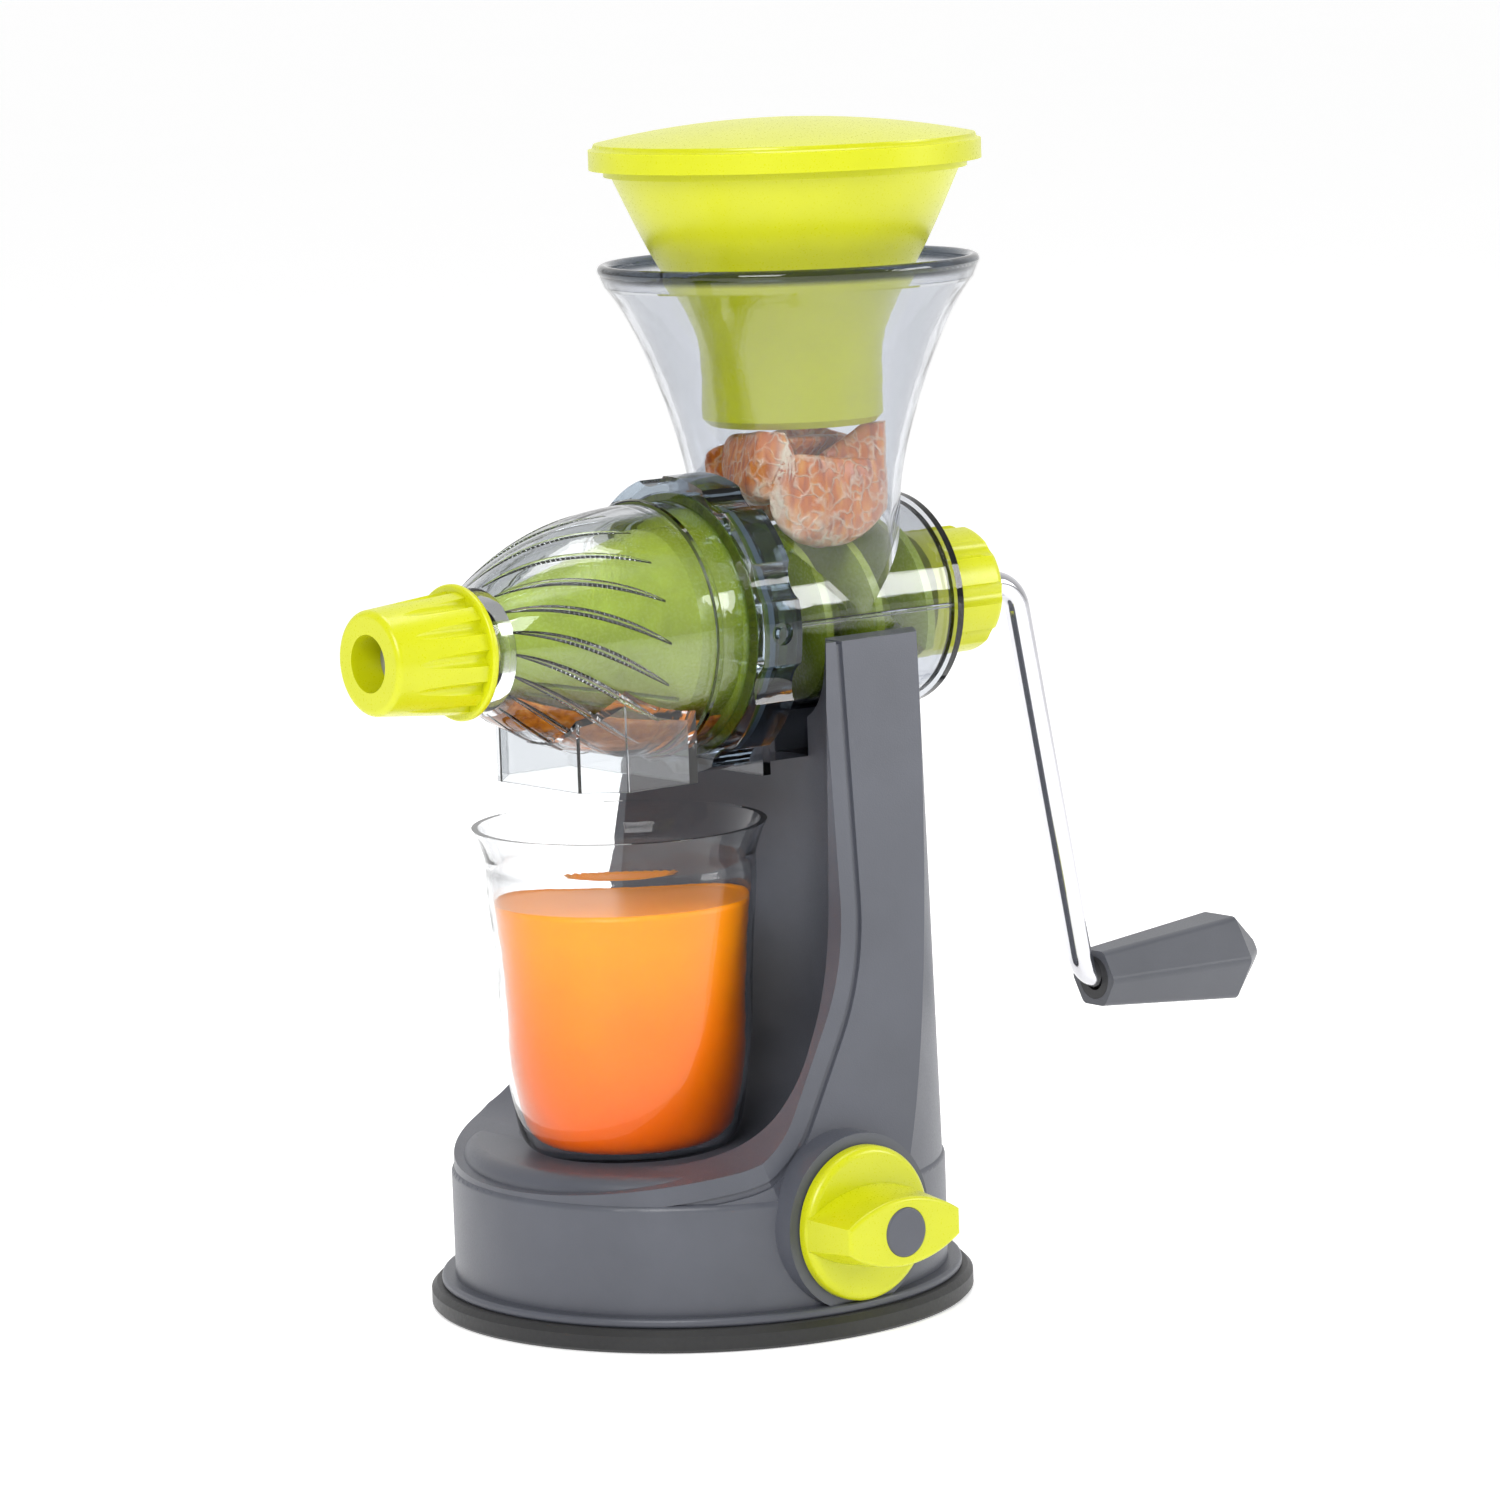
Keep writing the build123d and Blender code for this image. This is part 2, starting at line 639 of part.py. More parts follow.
with BuildPart() as cone_housing:
    with BuildSketch(Plane.XZ):
        with BuildLine():
            Polyline(
                (neck_x, axis_z),
                (neck_x, axis_z + neck_r),
                (cone_end_x, axis_z + neck_r),
                (cone_end_x, axis_z + cone_end_r),
            )
            cone_outline(cone_end_x, cone_end_r, 0)
            Polyline(
                (cone_bend_x, axis_z + cone_r),
                (collar_floor_x, axis_z + cone_r),
                (collar_floor_x, axis_z),
                (neck_x, axis_z),
            )
        make_face()
    revolve(axis=barrel_axis)
    with BuildSketch(Plane.XZ):
        with Locations((bead_x, axis_z + cone_r)):
            RegularPolygon(bead_r, 8)
    revolve(axis=barrel_axis)
    # lobed collar
    with BuildSketch(across(collar_x0)):
        Circle(collar_r)
        with PolarLocations(collar_r + lobe_cut_r - lobe_depth, collar_lobes):
            Circle(lobe_cut_r, mode=Mode.SUBTRACT)
    extrude(amount=collar_x1 - collar_x0)
    # spout walls
    add(spout_plan(0))
    extrude(amount=spout_drop - spout_top)
    add(spout_plan(spout_wall))
    extrude(amount=spout_drop - spout_top, mode=Mode.SUBTRACT)
    with BuildSketch(Plane.XZ):
        with BuildLine():
            cone_outline(cone_end_x, cone_end_r, 0)
            Polyline(
                (cone_bend_x, axis_z + cone_r),
                (collar_floor_x, axis_z + cone_r),
                (collar_floor_x, axis_z),
                (cone_end_x, axis_z),
                (cone_end_x, axis_z + cone_end_r),
            )
        make_face()
    revolve(axis=barrel_axis)
    # inside
    with BuildSketch(Plane.XZ):
        with BuildLine():
            Polyline(
                (neck_x, axis_z),
                (neck_x, axis_z + neck_bore_r),
                (strainer_tip_x - face_gap, axis_z + neck_bore_r),
                (strainer_tip_x - face_gap, axis_z + strainer_tip_r + seat_gap),
                (cone_inner_end_x, axis_z + strainer_tip_r + seat_gap),
                (cone_inner_end_x, axis_z + cone_inner_end_r),
            )
            cone_outline(cone_inner_end_x, cone_inner_end_r, cone_wall)
            Polyline(
                (cone_bend_x, axis_z + cone_in_r),
                (collar_floor_x, axis_z + cone_in_r),
                (collar_floor_x, axis_z + collar_bore_r),
                (collar_x1, axis_z + collar_bore_r),
                (collar_x1, axis_z),
                (neck_x, axis_z),
            )
        make_face()
    revolve(axis=barrel_axis, mode=Mode.SUBTRACT)
    # juice slot through the wall above the spout
    with BuildSketch(Plane.XY.offset(axis_z - spout_drop)):
        with Locations(((spout_front_x + spout_rear_x) / 2, 0)):
            SlotOverall(juice_slot_l, juice_slot_w)
    extrude(amount=spout_drop - barrel_in_r / 2, mode=Mode.SUBTRACT)
    # bayonet lugs at the collar's mouth
    with BuildSketch(across(collar_x1 - lug_t)):
        with PolarLocations(0, ear_count, start_angle=-90 - lug_span / 2):
            with BuildLine():
                outer = CenterArc((0, 0), collar_bore_r + seat_gap, 0, lug_span)
                inner = CenterArc((0, 0), ear_ring_r + free_gap, 0, lug_span)
                Line(outer @ 0, inner @ 0)
                Line(outer @ 1, inner @ 1)
            make_face()
    extrude(amount=lug_t)
    # moulded dimple on one lobe
    side = radians(dimple_angle)
    spot = Vector(
        (collar_x0 + collar_x1) / 2,
        (collar_r - dimple_depth) * cos(side),
        axis_z + (collar_r - dimple_depth) * sin(side),
    )
    with BuildSketch(Plane(spot, z_dir=(0, cos(side), sin(side)))):
        Circle(dimple_r)
        Circle(dimple_r / 2, mode=Mode.SUBTRACT)
    extrude(amount=3 * dimple_depth, mode=Mode.SUBTRACT)

with BuildPart() as strainer:
    with BuildSketch(Plane.XZ):
        with BuildLine():
            Polyline(
                (strainer_tip_x, axis_z + strainer_tip_r),
                (strainer_tip_x + strainer_seat_l, axis_z + strainer_tip_r),
                (cone_bend_x, axis_z + strainer_r),
                (collar_floor_x, axis_z + strainer_r),
                (collar_floor_x, axis_z + ear_r),
                (collar_floor_x + strainer_flange_t, axis_z + ear_r),
                (collar_floor_x + strainer_flange_t, axis_z + barrel_in_r),
                (cone_bend_x, axis_z + barrel_in_r),
                (strainer_tip_x + strainer_seat_l, axis_z + strainer_tip_r - strainer_wall),
                (strainer_tip_x, axis_z + strainer_tip_r - strainer_wall),
                close=True,
            )
        make_face()
    revolve(axis=barrel_axis)
    slot_x0 = strainer_tip_x + strainer_seat_l + 6
    slot_x1 = cone_bend_x - 3
    slot_start = -90 - strainer_slot_span / 2
    with BuildSketch(across(slot_x0)):
        slots = PolarLocations(strainer_r / 2 + 8, strainer_slots, slot_start, strainer_slot_span, endpoint=True)
        with slots:
            Rectangle(strainer_r, strainer_slot_w)
    extrude(amount=slot_x1 - slot_x0, mode=Mode.SUBTRACT)

with BuildPart() as collar_seal:
    with BuildSketch(across(collar_floor_x + strainer_flange_t)):
        Circle(ear_r)
        Circle(ear_r - seal_w, mode=Mode.SUBTRACT)
    extrude(amount=barrel_x0 - collar_floor_x - strainer_flange_t - face_gap)

with BuildPart() as nozzle_cap:
    with BuildSketch(Plane.XZ):
        Polygon(
            (nozzle_x0, axis_z),
            (nozzle_x0, axis_z + nozzle_tip_r),
            (nozzle_x1 - nozzle_flange_t, axis_z + nozzle_root_r),
            (nozzle_x1 - nozzle_flange_t, axis_z + nozzle_flange_r),
            (nozzle_x1, axis_z + nozzle_flange_r),
            (nozzle_x1, axis_z),
            align=None,
        )
    revolve(axis=barrel_axis)
    fillet(nozzle_cap.edges().filter_by(GeomType.CIRCLE).sort_by(Axis.X)[0], 1.8)
    fillet(nozzle_cap.edges().filter_by(GeomType.CIRCLE).group_by(SortBy.RADIUS)[-1], 0.8)
    with BuildSketch(across(nozzle_x1 - nozzle_flange_t)):
        with PolarLocations(nozzle_root_r + nozzle_flute_r * 0.14, nozzle_flutes):
            Circle(nozzle_flute_r)
    extrude(amount=nozzle_x0 - nozzle_x1, mode=Mode.SUBTRACT)
    with BuildSketch(across(nozzle_x0)):
        Circle(nozzle_hole_r)
    extrude(amount=nozzle_x1 - nozzle_x0, mode=Mode.SUBTRACT)
    with BuildSketch(across(nozzle_floor_x)):
        Circle(neck_r + free_gap)
    extrude(amount=nozzle_x1 - nozzle_floor_x, mode=Mode.SUBTRACT)

with BuildPart() as nozzle_seal:
    with BuildSketch(across(nozzle_floor_x)):
        Circle(neck_r)
        Circle(nozzle_hole_r + free_gap, mode=Mode.SUBTRACT)
    extrude(amount=nozzle_seal_t)

# ================================================================ crank
flight_x0 = strainer_tip_x + 6
flight_tip_r = strainer_tip_r - strainer_wall - flight_gap
with BuildLine() as flight_path:
    Helix(
        flight_pitch,
        shoulder_x - flight_x0 - flight_t,
        (flight_r + flight_inner_r) / 2,
        center=(flight_x0, 0, axis_z),
        direction=(1, 0, 0),
    )
flight_start = flight_path.line @ 0
flight_radial = flight_start - Vector(flight_x0, 0, axis_z)

# the flight's outline: a taper inside the strainer, then the barrel's bore
with BuildPart() as flight_envelope:
    with BuildSketch(across(flight_x0 - 0.5)):
        RegularPolygon(flight_tip_r, flight_facets)
    with BuildSketch(across(cone_bend_x)):
        RegularPolygon(flight_r, flight_facets)
    loft()
    with BuildSketch(across(cone_bend_x)):
        Circle(barrel_r)
    extrude(amount=shoulder_x - cone_bend_x)

with BuildPart() as auger:
    with BuildSketch(Plane(flight_start, x_dir=flight_radial, z_dir=flight_path.line % 0)):
        Rectangle(flight_r - flight_inner_r, flight_t)
    sweep(path=flight_path.line, is_frenet=True)
    # the flight tapers inside the strainer
    add(flight_envelope.part, mode=Mode.INTERSECT)
    with BuildSketch(across(auger_tip_x)):
        Circle(core_r)
    extrude(amount=shoulder_x - auger_tip_x)
    with BuildSketch(across(shoulder_x)):
        Circle(tail_r)
    extrude(amount=tail_x1 - shoulder_x)
    with BuildSketch(across(tail_x1)):
        Circle(rod_r + seat_gap)
    extrude(amount=rod_x0 - tail_x1, mode=Mode.SUBTRACT)

with BuildPart() as thrust_washer:
    with BuildSketch(across(hub_x0 - washer_t)):
        Circle(washer_r)
        Circle(tail_r + seat_gap, mode=Mode.SUBTRACT)
    extrude(amount=washer_t)

with BuildPart() as hub_nut:
    with BuildSketch(across(hub_x0)):
        Circle(hub_r)
    extrude(amount=hub_x1 - hub_x0)
    fillet(hub_nut.edges().filter_by(GeomType.CIRCLE).sort_by(Axis.X)[-1], 3)
    with BuildSketch(across(hub_x0 + 3)):
        with PolarLocations(hub_r + hub_flute_r - hub_flute_depth, hub_flutes):
            Circle(hub_flute_r)
    extrude(amount=hub_x1 - hub_x0, mode=Mode.SUBTRACT)
    with BuildSketch(across(hub_x0)):
        Circle(tail_r + seat_gap)
    extrude(amount=tail_x1 - hub_x0, mode=Mode.SUBTRACT)
    with BuildSketch(across(tail_x1)):
        Circle(rod_r + seat_gap)
    extrude(amount=hub_x1 - tail_x1, mode=Mode.SUBTRACT)

with BuildPart() as crank_rod:
    with BuildLine() as rod_path:
        FilletPolyline(
            (rod_x0, 0, axis_z),
            (rod_knee_x, 0, axis_z),
            (rod_foot_x, 0, pin_z),
            (rod_x1, 0, pin_z),
            radius=rod_bend_r,
        )
    with BuildSketch(across(rod_x0)):
        Circle(rod_r)
    sweep(path=rod_path.line)


def grip_section(x, half_h):
    """Rounded hexagon, flat on top, at x along the grip."""
    with BuildSketch(Plane((x, 0, pin_z), x_dir=(0, 1, 0), z_dir=(1, 0, 0))) as section:
        RegularPolygon(half_h, 6, major_radius=False, rotation=0)
        fillet(section.vertices(), grip_edge_r)
    return section.sketch


with BuildPart() as grip:
    add(grip_section(grip_x0, grip_small))
    add(grip_section(grip_x1, grip_large))
    loft()
    add(grip_section(grip_x1, grip_large))
    add(grip_section(grip_x2, grip_end))
    loft()
    with BuildSketch(Plane((grip_x0, 0, pin_z), x_dir=(0, 1, 0), z_dir=(1, 0, 0))):
        Circle(grip_mouth_r)
    extrude(amount=grip_mouth_l, mode=Mode.SUBTRACT)
    with BuildSketch(Plane((grip_x0, 0, pin_z), x_dir=(0, 1, 0), z_dir=(1, 0, 0))):
        Circle(rod_r + run_gap)
    extrude(amount=rod_x1 + free_gap - grip_x0, mode=Mode.SUBTRACT)

with BuildPart() as grip_bush:
    with BuildSketch(Plane((grip_x0, 0, pin_z), x_dir=(0, 1, 0), z_dir=(1, 0, 0))):
        Circle(grip_mouth_r - seat_gap)
        Circle(rod_r + run_gap, mode=Mode.SUBTRACT)
    extrude(amount=grip_bush_l)

with BuildPart() as rod_ring:
    ring_x = grip_x0 + grip_bush_l + face_gap
    with BuildSketch(Plane((ring_x, 0, pin_z), x_dir=(0, 1, 0), z_dir=(1, 0, 0))):
        Circle(rod_ring_r)
        Circle(rod_r + seat_gap, mode=Mode.SUBTRACT)
    extrude(amount=rod_ring_t)

# ================================================================ pusher
with BuildPart() as pusher_body:
    body_h = lid_z - pusher_z
    with BuildSketch(Plane.XZ):
        with BuildLine():
            Line((hopper_x, pusher_z), (hopper_x + pusher_tip_r - 2, pusher_z))
            Line((hopper_x + pusher_tip_r - 2, pusher_z), (hopper_x + pusher_tip_r, pusher_z + 2))
            Spline(
                (hopper_x + pusher_tip_r, pusher_z + 2),
                (hopper_x + pusher_tip_r + 1.4, pusher_z + 0.36 * body_h),
                (hopper_x + pusher_tip_r + 10.5, pusher_z + 0.61 * body_h),
                (hopper_x + pusher_mouth_r, lid_z - pusher_flange_t),
                tangents=((0, 1), (1, 2.2)),
            )
            Polyline(
                (hopper_x + pusher_mouth_r, lid_z - pusher_flange_t),
                (hopper_x + pusher_mouth_r + 2, lid_z - pusher_flange_t),
                (hopper_x + pusher_mouth_r + 2, lid_z),
                (hopper_x, lid_z),
                (hopper_x, pusher_z),
            )
        make_face()
    revolve(axis=hopper_axis)
    with BuildSketch(Plane.XZ):
        with BuildLine():
            Line((hopper_x, pusher_z + pusher_wall), (hopper_x + pusher_tip_r - pusher_wall, pusher_z + pusher_wall))
            Spline(
                (hopper_x + pusher_tip_r - pusher_wall, pusher_z + pusher_wall),
                (hopper_x + pusher_tip_r + 1.4 - pusher_wall, pusher_z + 0.36 * body_h),
                (hopper_x + pusher_tip_r + 10.5 - pusher_wall, pusher_z + 0.61 * body_h),
                (hopper_x + pusher_mouth_r - pusher_wall, lid_z - pusher_flange_t),
                tangents=((0, 1), (1, 2.2)),
            )
            Polyline(
                (hopper_x + pusher_mouth_r - pusher_wall, lid_z - pusher_flange_t),
                (hopper_x + pusher_mouth_r - pusher_wall, lid_z),
                (hopper_x, lid_z),
                (hopper_x, pusher_z + pusher_wall),
            )
        make_face()
    revolve(axis=hopper_axis, mode=Mode.SUBTRACT)

with BuildPart() as pusher_lid:
    lid_top = lid_z + pusher_lid_h
    edge = 1.6
    with BuildSketch(Plane.XZ):
        with BuildLine():
            Line((hopper_x, lid_z), (hopper_x + pusher_lid_r, lid_z))
            Line((hopper_x + pusher_lid_r, lid_z), (hopper_x + pusher_lid_r, lid_top - edge))
            RadiusArc((hopper_x + pusher_lid_r, lid_top - edge), (hopper_x + pusher_lid_r - edge, lid_top), edge)
            RadiusArc(
                (hopper_x + pusher_lid_r - edge, lid_top),
                (hopper_x, lid_top + pusher_dome),
                -((pusher_lid_r - edge) ** 2 + pusher_dome**2) / (2 * pusher_dome),
            )
            Line((hopper_x, lid_top + pusher_dome), (hopper_x, lid_z))
        make_face()
    revolve(axis=hopper_axis)
    with BuildSketch(Plane.XY.offset(lid_z)):
        with Locations((hopper_x, 0)):
            Circle(pusher_mouth_r - pusher_wall - pusher_lid_wall)
    extrude(amount=pusher_lid_h - pusher_lid_wall, mode=Mode.SUBTRACT)
    # plug ring that holds the lid in the pusher's mouth
    with BuildSketch(Plane.XY.offset(lid_z)):
        with Locations((hopper_x, 0)):
            Circle(pusher_mouth_r - pusher_wall - 2 * free_gap)
            Circle(pusher_mouth_r - pusher_wall - pusher_lid_wall, mode=Mode.SUBTRACT)
    extrude(amount=-pusher_flange_t)

# ================================================================ cup
cup_profile = [(5.3, 9.5), (8.2, 30), (9.4, 54), (11.0, 77), (14.3, cup_h)]  # beyond the base


def cup_region(inset, low, high):
    """Half-section of the cup, drawn in by inset and cut off at low and high."""
    base = cup_x + cup_base_r - inset
    with BuildSketch(Plane.XZ) as region:
        with BuildLine():
            Line((cup_x, deck_z + low), (base, deck_z + low))
            points = [(base + r, deck_z + z) for r, z in cup_profile]
            points[-1] = (points[-1][0], deck_z + high)
            Spline((base, deck_z + low), *points, tangents=((1, 0.35), (1, 2.2)))
            Line(points[-1], (cup_x, deck_z + high))
            Line((cup_x, deck_z + high), (cup_x, deck_z + low))
        make_face()
    return region.sketch


with BuildPart() as cup:
    add(cup_region(0, 0, cup_h))
    revolve(axis=cup_axis)
    add(cup_region(cup_wall, cup_wall, cup_h))
    revolve(axis=cup_axis, mode=Mode.SUBTRACT)

# ================================================================ files
os.makedirs("parts", exist_ok=True)
pieces = {
    "stand_body": stand_body,
    "base_plate": base_plate,
    "plate_screws": plate_screws,
    "suction_pad": suction_pad,
    "cam_shaft": cam_shaft,
    "shaft_clip": shaft_clip,
    "vacuum_knob": knob,
    "knob_cap": knob_cap,
    "knob_screw": knob_screw,
    "pull_stud": pull_stud,
    "barrel": barrel,
    "shaft_seal": shaft_seal,
    "cone_housing": cone_housing,
    "strainer": strainer,
    "collar_seal": collar_seal,
    "nozzle_cap": nozzle_cap,
    "nozzle_seal": nozzle_seal,
    "auger": auger,
    "thrust_washer": thrust_washer,
    "hub_nut": hub_nut,
    "crank_rod": crank_rod,
    "rod_ring": rod_ring,
    "grip": grip,
    "grip_bush": grip_bush,
    "pusher_body": pusher_body,
    "pusher_lid": pusher_lid,
    "cup": cup,
}
for name, piece in pieces.items():
    piece.part.label = name
    export_step(piece.part, f"parts/{name}.step")
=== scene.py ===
from math import cos, exp, pi, radians, sin, sqrt

import bmesh
import bpy
from mathutils import Matrix, Quaternion, Vector
from mathutils.bvhtree import BVHTree


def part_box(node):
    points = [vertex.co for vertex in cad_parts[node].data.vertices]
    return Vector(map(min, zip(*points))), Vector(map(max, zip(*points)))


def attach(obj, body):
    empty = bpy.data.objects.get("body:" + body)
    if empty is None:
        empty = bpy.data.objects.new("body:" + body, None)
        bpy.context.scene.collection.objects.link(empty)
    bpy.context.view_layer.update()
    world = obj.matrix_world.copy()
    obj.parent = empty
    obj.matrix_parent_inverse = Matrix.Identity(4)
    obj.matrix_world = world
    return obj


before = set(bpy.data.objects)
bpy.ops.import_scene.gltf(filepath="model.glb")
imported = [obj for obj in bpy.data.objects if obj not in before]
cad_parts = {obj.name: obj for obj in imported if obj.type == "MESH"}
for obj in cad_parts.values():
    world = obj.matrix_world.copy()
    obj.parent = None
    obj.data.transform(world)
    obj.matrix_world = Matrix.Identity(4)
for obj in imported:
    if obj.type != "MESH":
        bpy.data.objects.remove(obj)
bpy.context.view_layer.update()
mm = 0.001


# ---- Stand
# One hollow grey ABS moulding: a round drum, with a leaning column that carries the
# barrel. The mould is spark-finished, so the skin is satin with a very fine grain.
def surface(name):
    """A new material: its node tree, its shader and a point on the piece in metres."""
    material = bpy.data.materials.new(name)
    material.use_nodes = True
    tree = material.node_tree
    place = tree.nodes.new("ShaderNodeTexCoord").outputs["Object"]
    return material, tree, tree.nodes["Principled BSDF"], place


def noise(tree, place, size, detail=3.0, rough=0.5):
    """Cloudy variation of that grain size in metres, from 0 to 1."""
    node = tree.nodes.new("ShaderNodeTexNoise")
    node.inputs["Scale"].default_value = 1 / size
    node.inputs["Detail"].default_value = detail
    node.inputs["Roughness"].default_value = rough
    tree.links.new(place, node.inputs["Vector"])
    return node.outputs["Fac"]


def ramp(tree, value, *stops):
    """Colours or levels laid along a value, each stop (place, level or colour)."""
    node = tree.nodes.new("ShaderNodeValToRGB")
    bar = node.color_ramp.elements
    while len(bar) < len(stops):
        bar.new(1.0)
    for mark, (at, tone) in zip(bar, stops):
        mark.position = at
        mark.color = (*tone, 1) if isinstance(tone, tuple) else (tone, tone, tone, 1)
    tree.links.new(value, node.inputs["Fac"])
    return node.outputs["Color"]


def relief(tree, shader, height, depth):
    """Bump of that depth in metres."""
    node = tree.nodes.new("ShaderNodeBump")
    node.inputs["Distance"].default_value = depth
    tree.links.new(height, node.inputs["Height"])
    tree.links.new(node.outputs["Normal"], shader.inputs["Normal"])


def shade(colour, by):
    """The colour made darker or lighter."""
    return tuple(min(1.0, c * by) for c in colour)


def moulded(name, colour, gloss, grain=0.5 * mm, depth=0.02 * mm, drift=0.08):
    """Opaque moulded plastic, with flow marks in its colour and a spark-finished skin."""
    material, tree, shader, place = surface(name)
    flow = noise(tree, place, 22 * mm, 4)
    tone = ramp(tree, flow, (0.3, shade(colour, 1 - drift)), (0.7, shade(colour, 1 + drift)))
    tree.links.new(tone, shader.inputs["Base Color"])
    skin = noise(tree, place, grain, 2)
    sheen = ramp(tree, skin, (0.25, gloss - 0.05), (0.75, gloss + 0.06))
    tree.links.new(sheen, shader.inputs["Roughness"])
    relief(tree, shader, skin, depth)
    return material


def dress(material, *nodes, edge=0.0):
    """Gives CAD nodes their finish, and their sharp edges a rounding of that size."""
    for name in nodes:
        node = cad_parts[name]
        for slot in node.material_slots:
            slot.link = "OBJECT"
            slot.material = material
        if edge:
            rounding = node.modifiers.new("rounding", "BEVEL")
            rounding.width = edge
            rounding.segments = 2
            rounding.limit_method = "ANGLE"
            rounding.angle_limit = radians(32)


grey_abs = moulded("grey_abs", (0.076, 0.081, 0.100), 0.40, 0.45 * mm, 0.03 * mm)
dress(grey_abs, "stand_body", edge=0.5 * mm)

black_abs = moulded("black_abs", (0.022, 0.022, 0.024), 0.5)
dress(black_abs, "base_plate", "pull_stud", "grip_bush")


# ---- Suction pad
# A disc of black natural rubber under the drum. It is pressed in a polished mould, and
# dust and handling leave it slightly chalky.
pad_rubber = moulded("pad_rubber", (0.012, 0.012, 0.013), 0.55, 1.2 * mm, 0.03 * mm, 0.3)
pad_rubber.node_tree.nodes["Principled BSDF"].inputs["Sheen Weight"].default_value = 0.08
dress(pad_rubber, "suction_pad")


# ---- Metal fittings
# The cam shaft, its clip, the screws and the thrust washer are zinc-plated steel, turned
# or stamped, with fine rings left by the tool.
def metal(name, colour, gloss, mark, depth):
    """Plated steel, with marks of that size in metres."""
    material, tree, shader, place = surface(name)
    shader.inputs["Metallic"].default_value = 1.0
    lines = noise(tree, place, mark, 5, 0.7)
    tone = ramp(tree, lines, (0.3, shade(colour, 0.92)), (0.7, colour))
    tree.links.new(tone, shader.inputs["Base Color"])
    sheen = ramp(tree, lines, (0.3, gloss), (0.7, gloss + 0.08))
    tree.links.new(sheen, shader.inputs["Roughness"])
    relief(tree, shader, lines, depth)
    return material


zinc = metal("zinc_plate", (0.62, 0.62, 0.60), 0.28, 0.8 * mm, 0.01 * mm)
dress(zinc, "cam_shaft", "shaft_clip", "knob_screw", "plate_screws", "thrust_washer")


# ---- Vacuum knob
# A round disc with a raised wing, injection moulded in lime ABS. The end of the wing
# has a small grey plug over the screw.
lime_abs = moulded("lime_abs", (0.55, 0.575, 0.002), 0.30, 0.6 * mm, 0.012 * mm, 0.03)
lime_shader = lime_abs.node_tree.nodes["Principled BSDF"]
lime_shader.inputs["Subsurface Weight"].default_value = 0.15
lime_shader.inputs["Subsurface Radius"].default_value = (1.0, 1.0, 0.1)
lime_shader.inputs["Subsurface Scale"].default_value = 1.5 * mm
dress(lime_abs, "vacuum_knob", "nozzle_cap", "hub_nut", "pusher_body", "pusher_lid", edge=0.4 * mm)
dress(grey_abs, "knob_cap", edge=0.3 * mm)


# ---- Barrel and hopper
# The feed barrel and its flared hopper are one moulding in smoke-tinted clear SAN. The
# walls look pale face on and dark where the eye runs along them.
san_ior = 1.49


def stretch_share(tree, place, axis, start, end):
    """How far a point lies from start to end along an axis, from 0 to 1."""
    split = tree.nodes.new("ShaderNodeSeparateXYZ")
    tree.links.new(place, split.inputs[0])
    node = tree.nodes.new("ShaderNodeMapRange")
    tree.links.new(split.outputs[axis], node.inputs["Value"])
    node.inputs["From Min"].default_value = start
    node.inputs["From Max"].default_value = end
    return node.outputs["Result"]


def layered(tree, share, under, over, way="MIX"):
    """One colour laid over another by that share."""
    node = tree.nodes.new("ShaderNodeMix")
    node.data_type = "RGBA"
    node.blend_type = way
    colours = [socket for socket in node.inputs if socket.type == "RGBA"]
    tree.links.new(share, node.inputs["Factor"])
    tree.links.new(under, colours[0])
    colours[1].default_value = (*over, 1)
    return next(socket for socket in node.outputs if socket.type == "RGBA")


def clear(name, face_on, edge_on, lamp_through, deep=None, ior=san_ior):
    """Clear tinted plastic. deep gives (axis, start, end, colour) of a heavier stretch."""
    material, tree, shader, place = surface(name)
    look = tree.nodes.new("ShaderNodeLayerWeight")
    look.inputs["Blend"].default_value = 0.35
    tint = ramp(tree, look.outputs["Facing"], (0.15, face_on), (0.95, edge_on))
    if deep:
        axis, start, end, heavy = deep
        tint = layered(tree, stretch_share(tree, place, axis, start, end), tint, heavy, "MULTIPLY")
    tree.links.new(tint, shader.inputs["Base Color"])
    shader.inputs["Transmission Weight"].default_value = 1.0
    shader.inputs["IOR"].default_value = ior
    ripple = noise(tree, place, 14 * mm, 2)
    tree.links.new(ramp(tree, ripple, (0.3, 0.015), (0.8, 0.05)), shader.inputs["Roughness"])
    relief(tree, shader, ripple, 0.12 * mm)
    # lamps shine through the walls
    lamp = tree.nodes.new("ShaderNodeLightPath")
    passing = tree.nodes.new("ShaderNodeBsdfTransparent")
    passing.inputs["Color"].default_value = (*shade(face_on, lamp_through), 1)
    choice = tree.nodes.new("ShaderNodeMixShader")
    tree.links.new(lamp.outputs["Is Shadow Ray"], choice.inputs["Fac"])
    tree.links.new(shader.outputs[0], choice.inputs[1])
    tree.links.new(passing.outputs[0], choice.inputs[2])
    tree.links.new(choice.outputs[0], tree.nodes["Material Output"].inputs["Surface"])
    return material


# the rolled bead round the hopper's rim is thick, so it looks much darker
barrel_low, barrel_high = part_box("barrel")
hopper_x = (barrel_low.x + barrel_high.x) / 2  # the rim is the widest part
bead_foot, bead_body = barrel_high.z - 4.5 * mm, barrel_high.z - 3 * mm
smoke_barrel = clear(
    "smoke_san_barrel",
    (0.78, 0.80, 0.84),
    (0.05, 0.06, 0.08),
    0.74,
    deep=("Z", bead_foot, bead_body, (0.10, 0.12, 0.14)),
)
dress(smoke_barrel, "barrel")

seal_silicone = moulded("seal_silicone", (0.55, 0.55, 0.52), 0.5)
dress(seal_silicone, "shaft_seal", "collar_seal", "nozzle_seal")

# the washer lies round the barrel's axis
washer_low, washer_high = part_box("thrust_washer")
axis_z = (washer_low.z + washer_high.z) / 2
clear_out = 60 * mm  # from the barrel's axis, outside every wall


